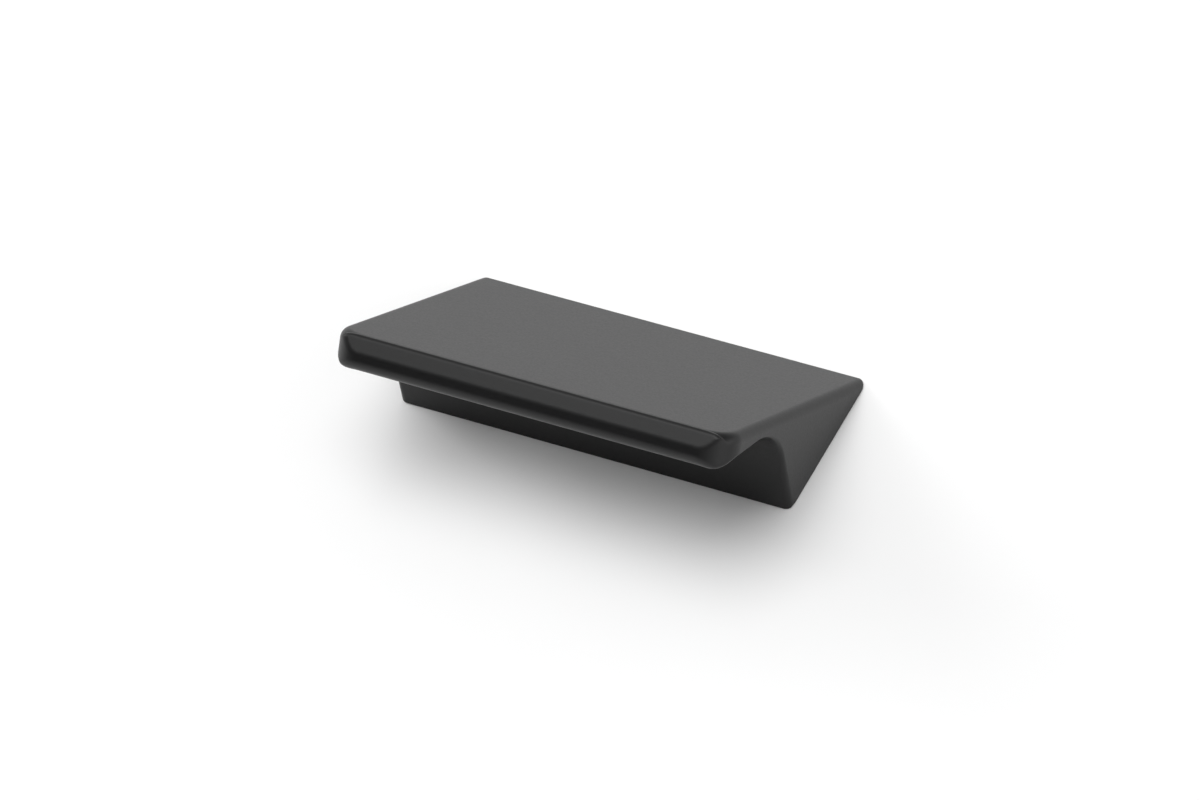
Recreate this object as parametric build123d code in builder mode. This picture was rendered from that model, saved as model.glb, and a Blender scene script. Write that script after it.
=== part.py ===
from build123d import *

import os
from math import atan2, cos, pi, radians, sin, tan

# A one-piece cast handle for a drawer or door front. It is modelled with its mounting face on
# the plane z = 0, +Z pointing away from the drawer front and the length along X. The origin is
# the middle of the mounting face. All sizes are in millimetres, all angles in degrees.

# Wedge-shaped leg and the plate that slopes out from it
handle_length = 60.0
mounting_height = 24.5  # mounting face, from the foot of the leg up to the top edge
plate_angle = 37.0  # between the mounting face and the plate
plate_depth = 42.3  # down the slope, from the top edge to the front crease

# Lip along the front of the plate
facet_width = 2.5
facet_turn = 67.0  # between the plate and the facet under the crease
lip_drop = 5.15  # square to the plate, down to the lower front corner of the lip
lip_corner_radius = 4.5  # the two front corners, looking square to the plate
lip_foot_width = 1.8
lip_foot_angle = 11.0  # between the plate and the foot of the lip
lip_back_angle = 42.0  # between the plate and the back of the lip
lip_heel_radius = 1.4
lip_root_radius = 3.0

# Finger cove between the lip and the leg
web_thickness = 3.3  # square to the plate, at the root of the lip
web_thickness_at_leg = 1.37  # in the cove's corner, before it is rounded
leg_lean = 4.0  # of the leg's front, away from the lip as it rises
cove_radius = 8.5
cove_share = 0.85  # the most that the cove's round top takes of the underside

# Soft cast edges, and the crisp rim of the mounting face
edge_radius = 1.1
edge_share = 0.43  # the most that one soft edge takes of the thinnest metal
mounting_rim_radius = 0.15

# Two blind holes for the screws that come through the drawer front
screw_spacing = 32.0
screw_hole_radius = 1.65
screw_hole_depth = 8.5
screw_hole_above_foot = 8.0
screw_mouth_chamfer = 0.4

slope = radians(plate_angle)
foot_y = -mounting_height / 2
top_edge_y = mounting_height / 2

# The section is drawn from the top edge: x runs down the plate, y goes square into the metal.
section_plane = Plane(
    origin=(0, top_edge_y, 0),
    x_dir=(0, -cos(slope), sin(slope)),
    z_dir=(1, 0, 0),
)
top_edge = (0, 0)
crease = (plate_depth, 0)
lip_front = plate_depth + facet_width * cos(radians(facet_turn))
facet_foot = (lip_front, facet_width * sin(radians(facet_turn)))
lip_foot = (lip_front, lip_drop)
lip_heel = (lip_front - lip_foot_width, lip_drop - lip_foot_width * tan(radians(lip_foot_angle)))
leg_foot = (mounting_height * cos(slope), mounting_height * sin(slope))
leg_rise = pi / 2 - slope + radians(leg_lean)
cove_corner = (
    leg_foot[0] + (leg_foot[1] - web_thickness_at_leg) / tan(leg_rise),
    web_thickness_at_leg,
)
lip_back = radians(lip_back_angle)
lip_root = (lip_heel[0] - (lip_heel[1] - web_thickness) / tan(lip_back), web_thickness)
taper = atan2(lip_root[1] - cove_corner[1], lip_root[0] - cove_corner[0])

# The cove's round top leaves room on the underside for the round root of the lip.
underside_length = (lip_root[0] - cove_corner[0]) / cos(taper)
root_run = lip_root_radius * tan((lip_back - taper) / 2)
most_cove_radius = cove_share * (underside_length - root_run) / tan((leg_rise + taper) / 2)
round_top_radius = min(cove_radius, most_cove_radius)

# The metal is thinnest above the round top. The soft edges above and below that place would
# meet if each took half of it.
round_top_depth = cove_corner[1] + (
    round_top_radius * cos((leg_rise - taper) / 2) / cos((leg_rise + taper) / 2)
)
thinnest_web = round_top_depth - round_top_radius
soft_radius = min(edge_radius, edge_share * thinnest_web)

# The outline of the plate is drawn on its top face: x along the handle, y up the slope.
plate_plane = Plane(
    origin=section_plane.origin,
    x_dir=(1, 0, 0),
    z_dir=(0, sin(slope), cos(slope)),
)


def on_section(point):
    """Place in space of a point of the section, halfway along the handle."""
    return section_plane.from_local_coords(Vector(*point))


with BuildPart() as handle_body:
    with BuildSketch(section_plane) as section:
        with BuildLine():
            Polyline(
                top_edge, crease, facet_foot, lip_foot, lip_heel, lip_root, cove_corner, leg_foot,
                close=True,
            )
        make_face()
        for corner, radius in (
            (cove_corner, round_top_radius),
            (lip_root, lip_root_radius),
            (lip_heel, lip_heel_radius),
        ):
            fillet(section.vertices().sort_by_distance(Vector(*corner))[0], radius)
    extrude(amount=handle_length / 2, both=True)

    # The ends and the rounded lip corners are cut square to the plate.
    with BuildSketch(plate_plane) as plate_outline:
        with Locations((0, -lip_front)):
            Rectangle(handle_length, 2 * lip_front, align=(Align.CENTER, Align.MIN))
        fillet(plate_outline.vertices().group_by(Axis.Y)[0], lip_corner_radius)
    extrude(amount=-mounting_height, mode=Mode.INTERSECT)

    # One soft radius runs round both ends, along the crease and along the lip. It stops at the
    # mounting face. The seams beside the lip corners are smooth already.
    ends = handle_body.faces().filter_by(Axis.X)
    round_faces = handle_body.faces().filter_by(GeomType.CYLINDER).sort_by(Axis.X)
    lip_corners = [round_faces[0], round_faces[-1]]
    end_outlines = (ends + lip_corners).edges()
    end_outlines = end_outlines.filter_by(Axis((0, 0, 0), plate_plane.z_dir), reverse=True)
    mounting_edges = handle_body.faces().sort_by(Axis.Z)[0].edges()
    ridges = [
        handle_body.edges().filter_by(Axis.X).sort_by_distance(on_section(point))[0]
        for point in (crease, facet_foot, lip_foot)
    ]
    fillet([edge for edge in end_outlines if edge not in mounting_edges] + ridges, soft_radius)

    # The mounting face keeps a crisp rim.
    fillet(handle_body.faces().sort_by(Axis.Z)[0].edges(), mounting_rim_radius)

    # Screw holes, each with a small chamfer at its mouth
    hole_plane = Plane(
        origin=(0, foot_y + screw_hole_above_foot, 0), x_dir=(1, 0, 0), z_dir=(0, 0, -1)
    )
    with Locations(hole_plane):
        with GridLocations(screw_spacing, 1, 2, 1):
            Hole(screw_hole_radius, screw_hole_depth)
    mouths = handle_body.edges(Select.LAST).group_by(Axis.Z)[0]
    chamfer(mouths, screw_mouth_chamfer)

os.makedirs("parts", exist_ok=True)
handle_body.part.label = "handle_body"
export_step(handle_body.part, "parts/handle_body.step")
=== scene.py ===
# %% [markdown]
# # A cast furniture handle
#
# This lesson dresses a short handle for a drawer front. The real one is a single casting with
# a matt black powder coat: a wedge-shaped leg, a wide plate that slopes out from it, and a lip
# turned down along the plate's front. Everything that gives it its look is in two things: how
# softly its edges turn, and how the coat mirrors the white table at a flat angle and almost
# nothing from above. So the lesson spends its effort on one smooth surface, one finish and
# a plain light.

# %% Open the solid model
from math import atan2, cos, pi, radians, sin, tan

import bpy
import numpy as np
from mathutils import Matrix, Vector


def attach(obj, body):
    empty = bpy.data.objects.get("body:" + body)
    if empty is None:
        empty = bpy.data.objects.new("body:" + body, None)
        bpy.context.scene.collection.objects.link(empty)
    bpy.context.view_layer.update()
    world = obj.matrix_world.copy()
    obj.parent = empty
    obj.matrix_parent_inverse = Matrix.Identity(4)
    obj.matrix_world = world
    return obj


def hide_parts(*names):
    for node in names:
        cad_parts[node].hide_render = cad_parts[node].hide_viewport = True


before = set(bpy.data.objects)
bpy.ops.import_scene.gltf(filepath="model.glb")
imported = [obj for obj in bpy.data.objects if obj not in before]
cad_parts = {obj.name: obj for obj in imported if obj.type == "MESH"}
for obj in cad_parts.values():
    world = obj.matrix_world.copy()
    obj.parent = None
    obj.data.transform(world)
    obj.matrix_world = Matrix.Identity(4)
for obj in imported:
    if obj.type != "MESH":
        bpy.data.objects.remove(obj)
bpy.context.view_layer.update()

# %% [markdown]
# ## The sizes
#
# The handle lies on its mounting face, which is the plane z = 0. Its length runs along X, and
# the plate climbs from its top edge, at +Y, to the crease above the lip, at -Y. The sizes are in
# millimetres, because that is how a drawing would give them, and the large ones are those of
# the solid model. The soft edges differ: a casting's edges aren't all alike, and a surface
# worked out point by point can follow each one, where the solid has one radius for all. The
# lip, the lean of the leg and the cove differ too, so that the surface lies up to 0.43 mm from
# the solid at the lip's corners and 0.25 mm in the cove.

# %% Sizes of the casting, in millimetres and degrees
MM = 0.001

length = 60.0
mounting_height = 24.5
plate_angle = 37.0
crease_at = 42.22  # down the plate, from the top edge
lip_front_at = 43.28
facet_drop = 2.3  # square to the plate, from the plate to the facet's foot
lip_drop = 5.35
lip_corner_radius = 4.5
lip_heel = (41.5, 5.0)  # inner corner of the lip's foot: down the plate, and square into it
lip_root = (39.6, 3.3)  # where the lip's back meets the underside
web_taper = 9.5  # between the plate and the underside, in degrees
leg_lean = 5.5  # of the leg's front, in degrees, away from the lip as it rises
lip_heel_radius = 1.8
lip_root_radius = 3.0
cove_radius = 9.0

# Each soft edge's own radius
crease_radius = 0.75
nose_radius = 1.8
upper_end_radius = 1.3
lower_end_radius = 0.5
leg_corner_radius = 1.1
mounting_rim_radius = 0.2
sharpest_join = radians(26)  # two faces that stand closer than this belong to a thin plate
nose_fades_from, nose_fades_to = 2.0, 4.0  # below the lip, in from the wall

# The tapped holes
screw_spacing = 32.0
screw_y = -4.25
thread_crest_radius = 1.65
thread_root_radius = 2.0
thread_pitch = 0.7
screw_hole_depth = 8.5
mouth_chamfer = 0.4
flank_gain, flank_cut = 1.35, 0.2  # steepness of the thread's flanks, and width of its crest
unthreaded_end = 1.2  # above this the tap has left no full thread

# %% [markdown]
# ## The section's own axes
#
# Most of the faces are square to the plate or to the ends, so the surface is worked out in
# axes that lie along them: x along the handle, u down the plate from its top edge, and d
# square into the metal. A rotation by the plate's angle turns them into the handle's axes.

# %% From the section's axes to the handle's
slope = radians(plate_angle)
facet_angle = atan2(facet_drop, lip_front_at - crease_at)
foot = (mounting_height * cos(slope), mounting_height * sin(slope))
underside_angle = radians(web_taper)
lip_foot_angle = atan2(lip_drop - lip_heel[1], lip_front_at - lip_heel[0])
lip_back_angle = atan2(lip_heel[1] - lip_root[1], lip_heel[0] - lip_root[0])
leg_front_angle = pi / 2 - slope + radians(leg_lean)
# The leg's front and the underside, drawn on, meet in the cove's sharp corner.
run = ((foot[1] - lip_root[1] + (lip_root[0] - foot[0]) * tan(underside_angle))
       / (sin(leg_front_angle) + cos(leg_front_angle) * tan(underside_angle)))
corner = (foot[0] + run * cos(leg_front_angle), foot[1] - run * sin(leg_front_angle))
leg_height = run


def to_handle(points):
    """x stays; y = top edge - u cos(slope) - d sin(slope); z = u sin(slope) - d cos(slope)."""
    x, u, d = points[..., 0], points[..., 1], points[..., 2]
    y = mounting_height / 2 - u * cos(slope) - d * sin(slope)
    z = u * sin(slope) - d * cos(slope)
    return np.stack([x, y, z], axis=-1)


print("facet turns down by", round(np.degrees(facet_angle), 1), "degrees,",
      "underside by", round(np.degrees(underside_angle), 1))

# %% [markdown]
# ## One surface with soft edges
#
# A bevel modifier could round the edges of a plain prism, but these roundings change size
# along their way, and several of them meet at each corner of the lip. Here each face of the
# casting is a distance instead: how far a point is outside that face, with the face's normal.
# Two distances are joined so that their edge becomes an arc: near the edge, the joined
# distance is measured from the arc's centre line. Joining them all gives one distance for the
# whole handle. Points of a rough grid are then slid along its normal until the distance is
# nothing, and they lie on the finished surface. One fault is left: where the crease meets
# a corner of the lip, the arcs don't quite agree, and a small dimple shows from the side.

# %% Distances and the rounded edge
def flat_face(points, through, normal):
    """Distance outside a flat face: the way from a point of the face, along its normal."""
    normal = np.broadcast_to(np.array(normal, float), points.shape)
    return np.sum((points - np.array(through)) * normal, axis=1), normal


def rounded_edge(one, other, radius):
    """Join of two faces whose convex edge is an arc. With k the cosine between the normals and
    A and B the distances plus the radius, the way from the arc's centre line is
    sqrt((A A + B B - 2 k A B) / (1 - k k)). It holds where A > k B and B > k A, and
    elsewhere the larger distance does. Opposite faces of a thin plate aren't joined."""
    (a, normal_a), (b, normal_b) = one, other
    k = np.sum(normal_a * normal_b, axis=1)
    inset_a, inset_b = a + radius, b + radius
    opening = np.maximum(1 - k * k, 1e-9)
    weight_a = (inset_a - k * inset_b) / opening
    weight_b = (inset_b - k * inset_a) / opening
    on_arc = (weight_a > 0) & (weight_b > 0) & (k > -cos(sharpest_join)) & (k < 0.9999)
    reach = np.sqrt(np.maximum(weight_a * inset_a + weight_b * inset_b, 1e-12))
    arc_normal = (weight_a[:, None] * normal_a + weight_b[:, None] * normal_b) / reach[:, None]
    plain_normal = np.where((a > b)[:, None], normal_a, normal_b)
    value = np.where(on_arc, reach - radius, np.maximum(a, b))
    return value, np.where(on_arc[:, None], arc_normal, plain_normal)


def around_wall(points):
    """Distance outside the wall that goes round the front and both ends, square to the plate:
    a rectangle in x and u, its two front corners rounded. Also gives how far round a corner
    the point is, from 0 at the front to 1 at an end."""
    past_x = np.abs(points[:, 0]) - (length / 2 - lip_corner_radius)
    past_u = points[:, 1] - (lip_front_at - lip_corner_radius)
    side = np.sign(points[:, 0])
    round_x, round_u = np.maximum(past_x, 0), np.maximum(past_u, 0)
    reach = np.maximum(np.hypot(round_x, round_u), 1e-9)
    at_corner = (past_x > 0) & (past_u > 0)
    to_end = past_x > past_u
    normal_x = np.where(at_corner, side * round_x / reach, np.where(to_end, side, 0.0))
    normal_u = np.where(at_corner, round_u / reach, np.where(to_end, 0.0, 1.0))
    value = np.where(at_corner, reach, np.maximum(past_x, past_u)) - lip_corner_radius
    normal = np.stack([normal_x, normal_u, np.zeros_like(value)], axis=1)
    return (value, normal), normal_x**2


def handle_surface(points):
    """Distance outside the whole handle and its normal: plate and facet meet in the crease,
    the wall goes round them, the cove is hollowed out below, and the mounting face is cut."""
    plate = flat_face(points, (0, 0, 0), (0, 0, -1))
    facet = flat_face(points, (0, crease_at, 0), (0, sin(facet_angle), -cos(facet_angle)))
    wall, round_the_corner = around_wall(points)
    upper_radius = nose_radius + (upper_end_radius - nose_radius) * round_the_corner
    height = points[:, 1] * sin(slope) - points[:, 2] * cos(slope)
    to_foot = np.clip(1 - height / leg_height, 0, 1) ** 2
    below_radius = lower_end_radius + (leg_corner_radius - lower_end_radius) * to_foot
    near_wall = np.clip((wall[0] + nose_fades_to) / (nose_fades_to - nose_fades_from), 0, 1)
    at_lip = (1 - round_the_corner) ** 2 * near_wall
    lower_radius = below_radius + (nose_radius - below_radius) * at_lip
    lip_foot = flat_face(points, (0, *lip_heel), (0, -sin(lip_foot_angle), cos(lip_foot_angle)))
    lip_back = flat_face(points, (0, *lip_heel), (0, -sin(lip_back_angle), cos(lip_back_angle)))
    lip_bead = rounded_edge(lip_foot, lip_back, lip_heel_radius)
    out_of_lip = (-lip_bead[0], -lip_bead[1])
    out_of_underside = flat_face(points, (0, *lip_root),
                                 (0, sin(underside_angle), -cos(underside_angle)))
    out_of_leg_front = flat_face(points, (0, *foot),
                                 (0, -sin(leg_front_angle), -cos(leg_front_angle)))
    above = rounded_edge(out_of_underside, out_of_lip, lip_root_radius)
    cove = rounded_edge(above, out_of_leg_front, cove_radius)
    metal_round_cove = (-cove[0], -cove[1])
    below_ground = flat_face(points, (0, 0, 0), (0, -sin(slope), cos(slope)))

    top = rounded_edge(plate, facet, crease_radius)
    lip = rounded_edge(top, wall, upper_radius)
    casting = rounded_edge(lip, metal_round_cove, lower_radius)
    return rounded_edge(casting, below_ground, mounting_rim_radius)


def slide_on(points, steps=12):
    """Slides the points along the normal by the distance, again and again."""
    for _ in range(steps):
        distance, normal = handle_surface(points)
        length_squared = np.maximum(np.sum(normal * normal, axis=1), 0.25)
        points = points - (distance / length_squared)[:, None] * normal
    return points, handle_surface(points)


# %% [markdown]
# ## The rough grid
#
# The grid is a block of columns down the slope, stations along the handle and rows through
# the metal. Its faces are the plate, the wall, the ends and everything below. Lines stand
# close together where an edge turns and far apart on the flats, so the whole handle needs
# fewer faces than an even grid would take for one corner.

# %% Columns down the slope
def joined(stretches):
    """Evenly spaced places on each stretch (from, to, steps), end to end."""
    runs = [np.linspace(start, end, steps, endpoint=False) for start, end, steps in stretches]
    return np.append(np.concatenate(runs), stretches[-1][1])


block_half = 3.2  # half of the square patch that is kept for each screw hole
tip_ends, wedge_ends = 0.6, 2.4  # fine columns at the wedge's thin end, then coarser ones
foot_zone, crease_zone = 0.3, 0.6  # fine columns around the leg's foot and before the crease
underside_ends = 40.4  # where the lip's back takes over from the flat underside
hole_at = (mounting_height / 2 - screw_y) * cos(slope)
patch_from, patch_to = hole_at - block_half * cos(slope), hole_at + block_half * cos(slope)
tangent_run = cove_radius * tan((leg_front_angle + underside_angle) / 2)
cove_starts = corner[0] - tangent_run * cos(leg_front_angle)
cove_ends = corner[0] + tangent_run * cos(underside_angle)
cove_centre = (cove_ends - cove_radius * sin(underside_angle),
               corner[1] + tangent_run * sin(underside_angle) + cove_radius * cos(underside_angle))

columns = joined([
    (0, tip_ends, 12), (tip_ends, wedge_ends, 5), (wedge_ends, patch_from, 5),
    (patch_from, patch_to, 12), (patch_to, foot[0] - foot_zone, 4),
    (foot[0] - foot_zone, foot[0] + foot_zone, 14), (foot[0] + foot_zone, cove_starts, 9),
    (cove_starts, cove_ends, 28), (cove_ends, underside_ends, 10),
    (underside_ends, crease_at - crease_zone, 8), (crease_at - crease_zone, crease_at, 10),
    (crease_at, lip_front_at, 24),
])
print("columns:", len(columns), "cove from", round(cove_starts, 2), "to", round(cove_ends, 2))


def top_depth(u):
    """The plate lies at depth 0, and past the crease the facet falls by its angle."""
    return np.maximum(0.0, (u - crease_at) * tan(facet_angle))


def bottom_depth(u):
    """Mounting face, leg front, the cove's arc and the underside, one after the other."""
    mounting = u * tan(slope)
    leg_front = foot[1] - (u - foot[0]) * tan(leg_front_angle)
    underside = lip_root[1] + (u - lip_root[0]) * tan(underside_angle)
    lip_back = lip_heel[1] + (u - lip_heel[0]) * tan(lip_back_angle)
    lip_foot = lip_heel[1] + (u - lip_heel[0]) * tan(lip_foot_angle)
    underside = np.maximum(underside, np.minimum(lip_back, lip_foot))
    off_centre = np.clip(u - cove_centre[0], -cove_radius, cove_radius)
    arc = cove_centre[1] - np.sqrt(cove_radius**2 - off_centre**2)
    below_leg = np.where(u < cove_starts, leg_front, np.where(u < cove_ends, arc, underside))
    return np.where(u < foot[0], mounting, below_leg)


# %% Stations along the handle, and where the wall stands at each
corner_turn = np.linspace(0, pi / 2, 31)
corner_x = length / 2 - lip_corner_radius + lip_corner_radius * np.sin(corner_turn)
corner_front = lip_front_at - lip_corner_radius + lip_corner_radius * np.cos(corner_turn)
hole_x = screw_spacing / 2
straight = joined([
    (-corner_x[0], -hole_x - block_half, 5), (-hole_x - block_half, -hole_x + block_half, 12),
    (-hole_x + block_half, hole_x - block_half, 12), (hole_x - block_half, hole_x + block_half, 12),
    (hole_x + block_half, corner_x[0], 5),
])
stations = np.concatenate([-corner_x[:0:-1], straight, corner_x[1:]])
straight_front = np.full(len(straight), lip_front_at)
fronts = np.concatenate([corner_front[:0:-1], straight_front, corner_front[1:]])
least_facet = 0.35  # the crease's column keeps at least this far from the wall
print("stations:", len(stations))


def columns_at(front):
    """Places of the columns where the wall stands back at a corner: the crease's column moves
    back with the wall, and the columns on either side of it are shared out evenly."""
    crease_here = np.minimum(crease_at, front - least_facet)
    behind = (cove_ends
              + (columns - cove_ends) * (crease_here - cove_ends) / (crease_at - cove_ends))
    before = (crease_here
              + (columns - crease_at) * (front - crease_here) / (lip_front_at - crease_at))
    return np.where(columns <= cove_ends, columns, np.where(columns <= crease_at, behind, before))


# %% Rows through the metal
half_rows = 21
tallest = foot[1]
crowding = 2.6  # how much closer the rows stand near the edges of a tall column


def row_depths(top, bottom):
    """Depths of the rows between top and bottom, the same spacing from both. Low columns have
    even rows, and tall ones have rows that crowd exponentially towards their two ends."""
    place = np.linspace(0, 1, half_rows + 1)
    crowded = (np.exp(crowding * place) - 1) / (np.exp(crowding) - 1)
    height = (bottom - top)[..., None]
    share = height / tallest
    half = height / 2 * ((1 - share) * place + share * crowded)
    return np.concatenate([top[..., None] + half, bottom[..., None] - half[..., -2::-1]], axis=-1)


# %% [markdown]
# ## Numbering the grid
#
# Every face of the block is a table of point numbers. Two faces that meet use the same
# numbers along their shared edge, so the surface has no seam to close afterwards. The wedge's
# thin end, where the plate meets the mounting face, is one line of points for both.

# %% Build the block's faces
class Skin:
    """Collects points, and faces as tables of point numbers."""

    def __init__(self):
        self.points, self.quads, self.count = [], [], 0

    def add(self, points):
        """Adds a table of points and gives the table of their numbers."""
        numbers = self.count + np.arange(points[..., 0].size).reshape(points.shape[:-1])
        self.points.append(points.reshape(-1, 3))
        self.count += numbers.size
        return numbers

    def cover(self, numbers, turned=False, skip=None):
        """One face for each four neighbouring numbers of a table, apart from those to skip."""
        around = [numbers[:-1, :-1], numbers[1:, :-1], numbers[1:, 1:], numbers[:-1, 1:]]
        if turned:
            around = around[::-1]
        faces = np.stack(around, axis=-1)
        faces = faces[~skip] if skip is not None else faces.reshape(-1, 4)
        self.quads.append(faces)


skin = Skin()
grid_u = np.stack([columns_at(front) for front in fronts], axis=1)
grid_x = np.broadcast_to(stations, grid_u.shape)
top_points = np.stack([grid_x, grid_u, top_depth(grid_u)], axis=-1)
bottom_points = np.stack([grid_x, grid_u, bottom_depth(grid_u)], axis=-1)
top = skin.add(top_points)
bottom = np.vstack([top[:1], skin.add(bottom_points[1:])])

wall_rows = row_depths(top_points[-1, :, 2], bottom_points[-1, :, 2])[:, 1:-1].T
wall_x, wall_u = (np.broadcast_to(v, wall_rows.shape) for v in (stations, fronts))
wall_inner = skin.add(np.stack([wall_x, wall_u, wall_rows], axis=-1))
wall = np.vstack([top[-1:], wall_inner, bottom[-1:]])

ends = []
for k in (0, -1):
    rows = row_depths(top_points[1:-1, k, 2], bottom_points[1:-1, k, 2])[:, 1:-1]
    end_u = np.broadcast_to(grid_u[1:-1, k, None], rows.shape)
    end_inner = skin.add(np.stack([np.full(rows.shape, stations[k]), end_u, rows], axis=-1))
    middle = np.hstack([top[1:-1, k, None], end_inner, bottom[1:-1, k, None]])
    ends.append(np.vstack([middle, wall[None, :, k]]))
print("points on the block:", skin.count)

# %% Leave room for the screw holes and cover the block
cell_u = (columns[:-1] + columns[1:]) / 2
cell_x = (stations[:-1] + stations[1:]) / 2
in_patch_u = (cell_u > patch_from) & (cell_u < patch_to)
patches = [np.outer(in_patch_u, np.abs(cell_x - side * hole_x) < block_half) for side in (-1, 1)]

skin.cover(top)
skin.cover(bottom, turned=True, skip=patches[0] | patches[1])
skin.cover(wall)
skin.cover(ends[0])
skin.cover(ends[1], turned=True)
tips = []
for end, k, turned in ((ends[0], 0, False), (ends[1], -1, True)):
    tip = np.full(end.shape[1] - 1, top[0, k])
    corners = [tip, end[0, :-1], end[0, 1:]] if turned else [tip, end[0, 1:], end[0, :-1]]
    tips.append(np.stack(corners, axis=-1))

block_points, (miss, _) = slide_on(np.concatenate(skin.points))
print("largest miss after sliding, mm:", float(np.abs(miss).max()))

# %% [markdown]
# ## The tapped holes
#
# Two screws come through the drawer front into the leg. Each hole is one more sheet of grid:
# it starts from the square edge of its patch, closes to a circle, goes down a small chamfer
# and then along the wall. The thread is a ridge that climbs one pitch for each turn, so the
# wall's radius depends on the height less the turn.

# %% Add the two holes
def thread_radius(angle, height):
    """Between crest and root by a clipped triangle wave of height / pitch - angle / turn. The
    last turns run out to the plain crest radius that the tap drill leaves."""
    phase = (height / thread_pitch - angle / (2 * pi)) % 1.0
    wave = np.clip(flank_gain * (1 - np.abs(2 * phase - 1)) - flank_cut, 0, 1)
    run_out = np.clip((screw_hole_depth - unthreaded_end - height) / thread_pitch, 0, 1)
    return thread_crest_radius + (thread_root_radius - thread_crest_radius) * wave * run_out


def square_edge(rows, cols):
    """The numbers round a patch of the mounting face, once round, and not the last twice."""
    table = bottom[rows.start:rows.stop + 1, cols.start:cols.stop + 1]
    return np.concatenate([table[:-1, 0], table[-1, :-1], table[:0:-1, -1], table[0, :0:-1]])


closing_rings, wall_rings, floor_rings = 8, 111, 6
hole_quads = []
hole_points = []
point_count = skin.count
for side, patch in zip((-1, 1), patches):
    used_rows, used_cols = np.flatnonzero(patch.any(axis=1)), np.flatnonzero(patch.any(axis=0))
    edge = square_edge(slice(used_rows[0], used_rows[-1] + 1),
                       slice(used_cols[0], used_cols[-1] + 1))
    edge_points = to_handle(block_points[edge])
    centre = np.array([side * hole_x, screw_y])
    angle = np.arctan2(edge_points[:, 1] - centre[1], edge_points[:, 0] - centre[0])
    edge_radius = np.hypot(edge_points[:, 0] - centre[0], edge_points[:, 1] - centre[1])

    closing = np.linspace(0, 1, closing_rings)[1:, None]
    mouth_radius = thread_crest_radius + mouth_chamfer
    flat_radii = edge_radius + (mouth_radius - edge_radius) * closing
    heights = np.linspace(0, screw_hole_depth, wall_rings)[1:, None]
    wall_radii = np.maximum(thread_radius(angle, heights), mouth_radius - heights)
    shrinking = np.linspace(1, 0, floor_rings)[1:-1, None]
    floor_radii = thread_crest_radius * shrinking * np.ones(len(edge))
    radii = np.vstack([flat_radii, wall_radii, floor_radii])
    height_rows = np.concatenate([np.zeros(len(closing)), heights[:, 0],
                                  np.full(len(floor_radii), screw_hole_depth)])
    sheet = np.stack([centre[0] + radii * np.cos(angle), centre[1] + radii * np.sin(angle),
                      np.broadcast_to(height_rows[:, None], radii.shape)], axis=-1)
    numbers = point_count + np.arange(sheet[..., 0].size).reshape(sheet.shape[:-1])
    middle_point = point_count + numbers.size
    hole_points += [sheet.reshape(-1, 3), np.array([[centre[0], centre[1], screw_hole_depth]])]
    point_count = middle_point + 1

    rings = np.vstack([edge[None], numbers])
    rings = np.hstack([rings, rings[:, :1]])
    around = [rings[:-1, :-1], rings[1:, :-1], rings[1:, 1:], rings[:-1, 1:]]
    hole_quads.append(np.stack(around, axis=-1).reshape(-1, 4))
    last = rings[-1]
    tips.append(np.stack([last[:-1], np.full(len(last) - 1, middle_point), last[1:]], axis=-1))
print("points in each hole:", numbers.size + 1)

# %% [markdown]
# ## Into the mesh
#
# The points are turned into the handle's axes, in metres, and handed over in one go. The
# volume inside the mesh is worked out from its faces. It has to be positive, which says that
# the faces look outwards, and close to the solid model's.

# %% Make the handle
handle_points = np.concatenate([to_handle(block_points)] + hole_points) * MM
handle_faces = np.concatenate(skin.quads + hole_quads).tolist() + np.concatenate(tips).tolist()
handle_mesh = bpy.data.meshes.new("handle")
handle_mesh.from_pydata(handle_points, [], handle_faces)
handle_mesh.validate()
handle_mesh.polygons.foreach_set("use_smooth", np.ones(len(handle_mesh.polygons), bool))
crisp_above = radians(50)  # neighbouring faces that turn by more than this keep a crisp edge
handle_mesh.set_sharp_from_angle(angle=crisp_above)
handle = bpy.data.objects.new("handle", handle_mesh)
bpy.context.collection.objects.link(handle)


def volume_inside(mesh):
    """Sum over the triangles of a . (b x c) / 6."""
    mesh.calc_loop_triangles()
    corners = np.empty(len(mesh.loop_triangles) * 3, int)
    mesh.loop_triangles.foreach_get("vertices", corners)
    places = np.empty(len(mesh.vertices) * 3)
    mesh.vertices.foreach_get("co", places)
    a, b, c = np.moveaxis(places.reshape(-1, 3)[corners.reshape(-1, 3)], 1, 0)
    return float(np.sum(a * np.cross(b, c)) / 6), len(mesh.loop_triangles)


volume, triangles = volume_inside(handle_mesh)
print("handle: volume", round(volume * 1e9), "cubic mm, triangles", triangles)
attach(handle, "root")
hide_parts("handle_body")

# %% [markdown]
# ## The powder coat
#
# The coat is sprayed on as dry powder and baked. It flows into a film about a tenth of
# a millimetre thick that is never quite flat: it keeps a faint orange-peel swell about
# a millimetre wide, and a fine grain of half-melted powder on top. The black itself returns
# almost no light, so what the eye sees is the sheen: rough, like that of any resin, weak when
# the light comes straight back and strong at a flat angle.

# %% The finish's nodes
def node(tree, kind, at, **inputs):
    """Adds a node and sets its sockets by name."""
    made = tree.nodes.new(kind)
    made.location = at
    for name, value in inputs.items():
        made.inputs[name.replace("_", " ")].default_value = value
    return made


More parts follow.
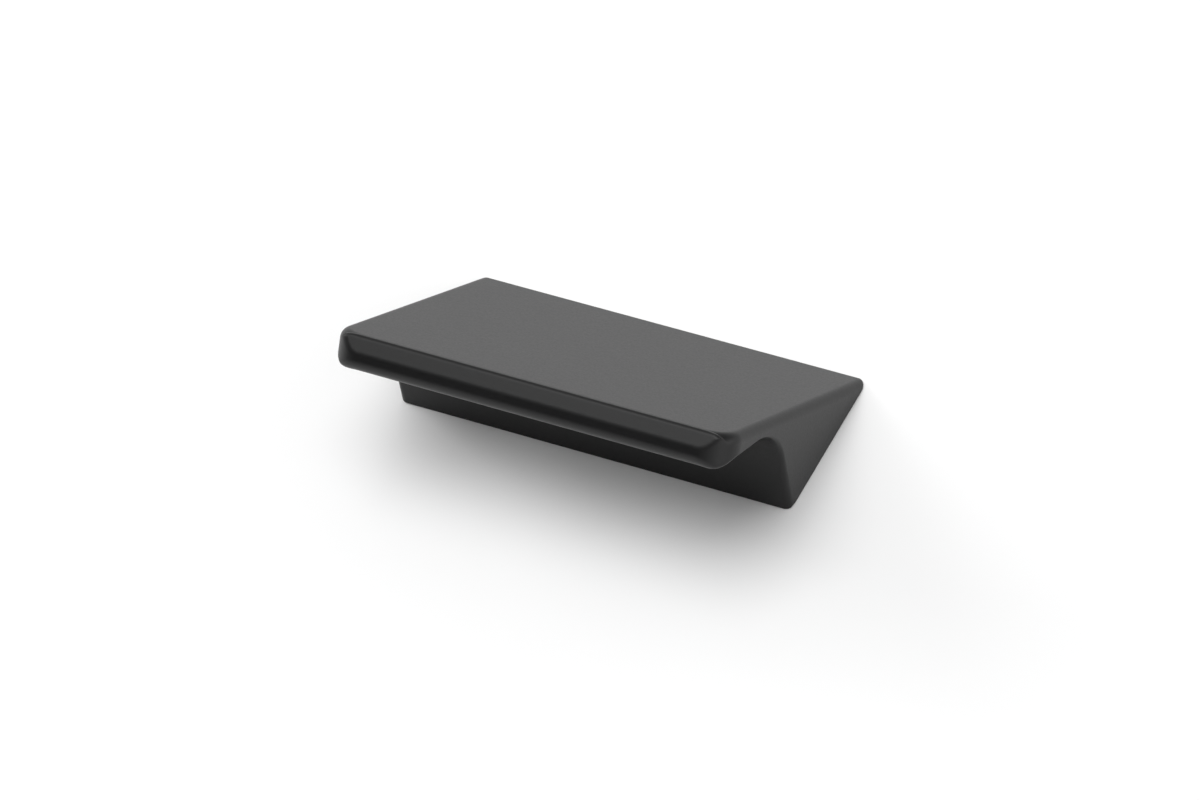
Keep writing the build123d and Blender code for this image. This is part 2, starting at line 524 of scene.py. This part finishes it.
def powder_coat(name, colour, roughness):
    """A swell of about 1 mm and a grain of about a third of that, as bump, with a little of the
    grain in the roughness and the colour."""
    material = bpy.data.materials.new(name)
    material.use_nodes = True
    tree = material.node_tree
    shader = tree.nodes["Principled BSDF"]
    shader.inputs["IOR"].default_value = 1.39
    place = node(tree, "ShaderNodeTexCoord", (-1100, 0))
    swell = node(tree, "ShaderNodeTexNoise", (-900, 200), Scale=900.0, Detail=2.0, Roughness=0.5)
    grain = node(tree, "ShaderNodeTexNoise", (-900, -100), Scale=3200.0, Detail=3.0, Roughness=0.55)
    for texture in (swell, grain):
        tree.links.new(place.outputs["Object"], texture.inputs["Vector"])

    swell_bump = node(tree, "ShaderNodeBump", (-500, -200), Strength=0.5, Distance=0.00002)
    grain_bump = node(tree, "ShaderNodeBump", (-300, -300), Strength=0.5, Distance=0.000012)
    tree.links.new(swell.outputs["Fac"], swell_bump.inputs["Height"])
    tree.links.new(grain.outputs["Fac"], grain_bump.inputs["Height"])
    tree.links.new(swell_bump.outputs["Normal"], grain_bump.inputs["Normal"])
    tree.links.new(grain_bump.outputs["Normal"], shader.inputs["Normal"])

    rough = node(tree, "ShaderNodeMapRange", (-500, 100), From_Min=0.3, From_Max=0.7,
                 To_Min=roughness - 0.03, To_Max=roughness + 0.03)
    tree.links.new(grain.outputs["Fac"], rough.inputs["Value"])
    tree.links.new(rough.outputs["Result"], shader.inputs["Roughness"])

    tint = node(tree, "ShaderNodeMix", (-500, 400))
    tint.data_type = "RGBA"
    tint.inputs["A"].default_value = (*[0.8 * c for c in colour], 1)
    tint.inputs["B"].default_value = (*[1.2 * c for c in colour], 1)
    tree.links.new(grain.outputs["Fac"], tint.inputs["Factor"])
    tree.links.new(tint.outputs["Result"], shader.inputs["Base Color"])
    return material


coat = powder_coat("black_coating", colour=(0.0045, 0.0045, 0.0047), roughness=0.4)
handle_mesh.materials.append(coat)

# %% [markdown]
# ## The table and the room
#
# The handle lies on a plain white table, wide enough to be what its sides mirror. A black coat
# shows little light of its own, so its greys are those of the room in it. The walls are pale
# low down, which is what the plate mirrors towards the camera, and dimmer above. They are dark
# on the one side that the lip's nose faces, and that keeps the nose black. A window stands at
# +X. A large soft lamp overhead and a smaller one low on the left make the shadow: short and
# soft in front of the lip, and longer on the right.

# %% Table
table_half = 3.0
table_gap = 0.02 * MM  # keeps the table's face clear of the mounting face
table_mesh = bpy.data.meshes.new("table_top")
table_mesh.from_pydata([(-table_half, -table_half, 0), (table_half, -table_half, 0),
                        (table_half, table_half, 0), (-table_half, table_half, 0)],
                       [], [(0, 1, 2, 3)])
table = bpy.data.objects.new("table_top", table_mesh)
table.location.z = -table_gap
bpy.context.collection.objects.link(table)

paper = bpy.data.materials.new("white_table")
paper.use_nodes = True
paper.node_tree.nodes["Principled BSDF"].inputs["Base Color"].default_value = (0.93, 0.93, 0.93, 1)
paper.node_tree.nodes["Principled BSDF"].inputs["Roughness"].default_value = 0.9
paper.node_tree.nodes["Principled BSDF"].inputs["Specular IOR Level"].default_value = 0.0
table_mesh.materials.append(paper)

# %% Room
room = bpy.data.worlds.new("room")
room.use_nodes = True
bpy.context.scene.world = room
tree = room.node_tree
tree.nodes.clear()
direction = node(tree, "ShaderNodeTexCoord", (-900, 0))
parts = node(tree, "ShaderNodeSeparateXYZ", (-700, 0))
tree.links.new(direction.outputs["Generated"], parts.inputs["Vector"])
low_light, high_light = 1.05, 0.3
low_ends, high_starts = radians(15), radians(33)
by_height = node(tree, "ShaderNodeMapRange", (-500, 100), From_Min=sin(low_ends),
                 From_Max=sin(high_starts), To_Min=low_light, To_Max=high_light)
tree.links.new(parts.outputs["Z"], by_height.inputs["Value"])

dim_azimuth = radians(226)
turned = node(tree, "ShaderNodeVectorMath", (-700, -200))
turned.operation = "DOT_PRODUCT"
turned.inputs[1].default_value = (cos(dim_azimuth), sin(dim_azimuth), 0)
tree.links.new(direction.outputs["Generated"], turned.inputs[0])
by_turn = node(tree, "ShaderNodeMapRange", (-500, -200), From_Min=0.3, From_Max=0.85,
               To_Min=1.0, To_Max=0.05)
tree.links.new(turned.outputs["Value"], by_turn.inputs["Value"])

window_edge, window_light = radians(50), 1.3
window = node(tree, "ShaderNodeMapRange", (-500, -500), From_Min=cos(window_edge),
              From_Max=1.0, To_Min=0.0, To_Max=window_light)
tree.links.new(parts.outputs["X"], window.inputs["Value"])
walls = node(tree, "ShaderNodeMath", (-300, 0))
walls.operation = "MULTIPLY_ADD"
tree.links.new(by_height.outputs["Result"], walls.inputs[0])
tree.links.new(by_turn.outputs["Result"], walls.inputs[1])
tree.links.new(window.outputs["Result"], walls.inputs[2])
air = node(tree, "ShaderNodeBackground", (-100, 0), Color=(1, 1, 1, 1))
tree.links.new(walls.outputs["Value"], air.inputs["Strength"])
out = node(tree, "ShaderNodeOutputWorld", (100, 0))
tree.links.new(air.outputs["Background"], out.inputs["Surface"])

# %% Lamps
def soft_lamp(name, azimuth, elevation, distance, size, brightness):
    """A square lamp that faces the handle. Blender's watts are 4 x brightness x area, where
    a brightness of 1 is that of white paper in full light. Azimuth 0 is +X, in degrees."""
    lamp = bpy.data.lights.new(name, "AREA")
    lamp.size = size
    lamp.energy = 4 * brightness * size**2
    toward_lamp = Vector((cos(radians(azimuth)) * cos(radians(elevation)),
                          sin(radians(azimuth)) * cos(radians(elevation)),
                          sin(radians(elevation))))
    holder = bpy.data.objects.new(name, lamp)
    holder.location = distance * toward_lamp
    holder.rotation_euler = toward_lamp.to_track_quat("Z", "Y").to_euler()
    bpy.context.collection.objects.link(holder)


soft_lamp("overhead", azimuth=236, elevation=81, distance=1.5, size=1.25, brightness=2.65)
soft_lamp("side", azimuth=173, elevation=22, distance=1.5, size=0.8, brightness=3.3)

# %% [markdown]
# ## The camera
#
# The photograph was taken with a long lens, from the front and well to the right, looking
# down on the table, with the camera a little tilted about its own axis. Those angles and the
# lens come from fitting the handle's straight edges.

# %% Camera
camera_azimuth = radians(37.49)  # from the front, towards +X
camera_elevation = radians(47.83)
camera_roll = radians(-14.14)
camera_distance = 0.99263
aim = Vector((-3.625, -2.965, 0)) * MM

toward = Vector((sin(camera_azimuth) * cos(camera_elevation),
                 -cos(camera_azimuth) * cos(camera_elevation),
                 sin(camera_elevation)))
level_right = Vector((cos(camera_azimuth), sin(camera_azimuth), 0))
level_up = toward.cross(level_right)
right = cos(camera_roll) * level_right + sin(camera_roll) * level_up
up = toward.cross(right)
lens = bpy.data.cameras.new("camera")
lens.lens = 219.0
lens.sensor_width = 36.0
lens.clip_end = 20.0
camera = bpy.data.objects.new("camera", lens)
turn = Matrix((right, up, toward)).transposed().to_4x4()
camera.matrix_world = Matrix.Translation(aim + camera_distance * toward) @ turn
bpy.context.collection.objects.link(camera)
bpy.context.scene.camera = camera
bpy.context.scene.view_settings.view_transform = "Standard"
print("camera at, mm:", [round(1000 * v, 1) for v in camera.location])
